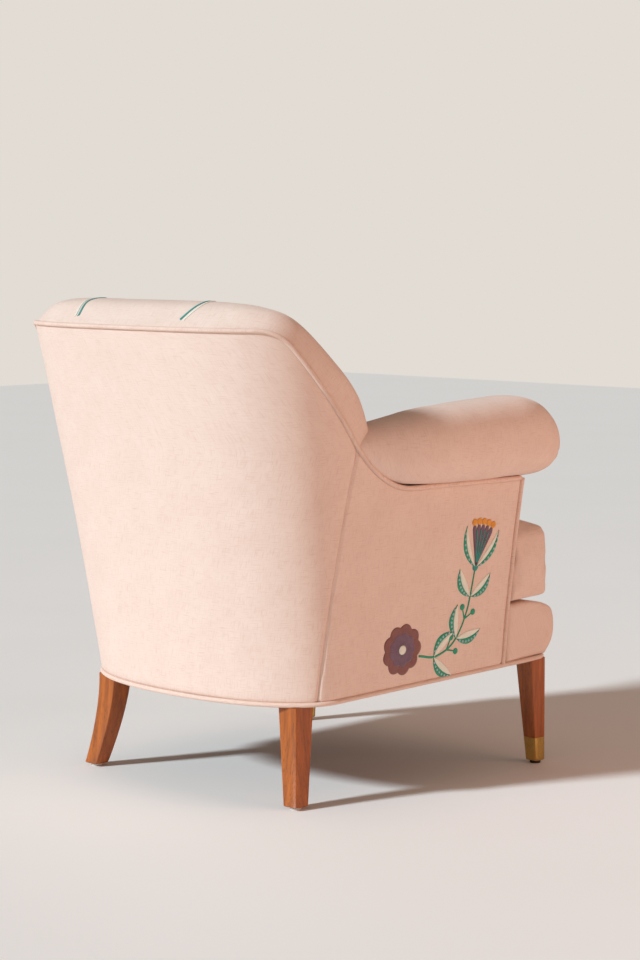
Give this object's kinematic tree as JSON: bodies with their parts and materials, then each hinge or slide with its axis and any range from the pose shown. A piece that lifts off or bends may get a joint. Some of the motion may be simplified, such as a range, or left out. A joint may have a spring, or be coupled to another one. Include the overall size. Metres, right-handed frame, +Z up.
{
  "type": "upholstered armchair",
  "caption": "Small linen armchair with a raked rounded back, rolled arms, loose T-shaped seat cushion, floral embroidery and tapered wooden legs.",
  "frame": {"origin": "on the floor, under the middle of the chair's outer box", "axes": "+Z up, the sitter looks along -Y, the sitter's left is +X"},
  "size_m": [0.742, 0.753, 0.8216],
  "materials": {
    "linen": "woven linen, matt",
    "piping": "linen over cord",
    "padding": "polyurethane foam and wadding",
    "frame_wood": "sawn beech",
    "leg_wood": "satin lacquer",
    "spring_steel": "drawn wire",
    "brass": "satin",
    "clear_nylon": "translucent",
    "dark_nylon": "moulded",
    "black_cloth": "thin woven dust cloth",
    "webbing": "jute webbing",
    "zip_tape": "woven tape with a coil zip",
    "zip_metal": "die cast"
  },
  "bodies": {
    "chair": {"front_seat_rail": "frame_wood", "back_seat_rail": "frame_wood", "seat_rail_left": "frame_wood", "seat_rail_right": "frame_wood", "corner_blocks": "frame_wood", "back_post_left": "frame_wood", "back_post_right": "frame_wood", "top_back_rail": "frame_wood", "lower_back_rail": "frame_wood", "top_former": "frame_wood", "arm_post_left": "frame_wood", "arm_post_right": "frame_wood", "arm_board_left": "frame_wood", "arm_board_right": "frame_wood", "seat_springs": "spring_steel", "spring_clips": "spring_steel", "back_webbing": "webbing", "seat_deck": "padding", "dust_cover": "black_cloth", "back_pad": "padding", "back_edge_roll": "padding", "wing_pad_left": "padding", "wing_pad_right": "padding", "inside_back_cover": "linen", "outside_back_panel": "linen", "outside_arm_panel_left": "linen", "outside_arm_panel_right": "linen", "arm_pad_left": "padding", "arm_pad_right": "padding", "arm_cover_left": "linen", "arm_cover_right": "linen", "inside_arm_pad_left": "padding", "inside_arm_pad_right": "padding", "arm_front_panel_left": "linen", "arm_front_panel_right": "linen", "front_border_pad": "padding", "front_border_cover": "linen", "top_welt": "piping", "arm_front_welt_left": "piping", "arm_front_welt_right": "piping", "base_welt": "piping", "back_leg_left": "leg_wood", "back_leg_right": "leg_wood", "front_leg_left": "leg_wood", "front_leg_right": "leg_wood", "ferrule_left": "brass", "ferrule_right": "brass", "back_glides": "clear_nylon", "front_glides": "dark_nylon", "leg_bolts": "spring_steel", "leg_nuts": "spring_steel"},
    "seat_cushion": {"seat_cushion_core": "padding", "seat_cushion_cover": "linen", "cushion_zip": "zip_tape"},
    "zip_slider": {"zip_slider": "zip_metal"}
  },
  "joints": [
    {"name": "cushion_slide", "type": "slide", "parent": "chair", "child": "seat_cushion", "axis": [0, -0.9991, 0.0419], "range_m": [0, 0.3]},
    {"name": "zip_slide", "type": "slide", "parent": "seat_cushion", "child": "zip_slider", "axis": [-1, 0, 0], "range_m": [0, 0.36]}
  ]
}
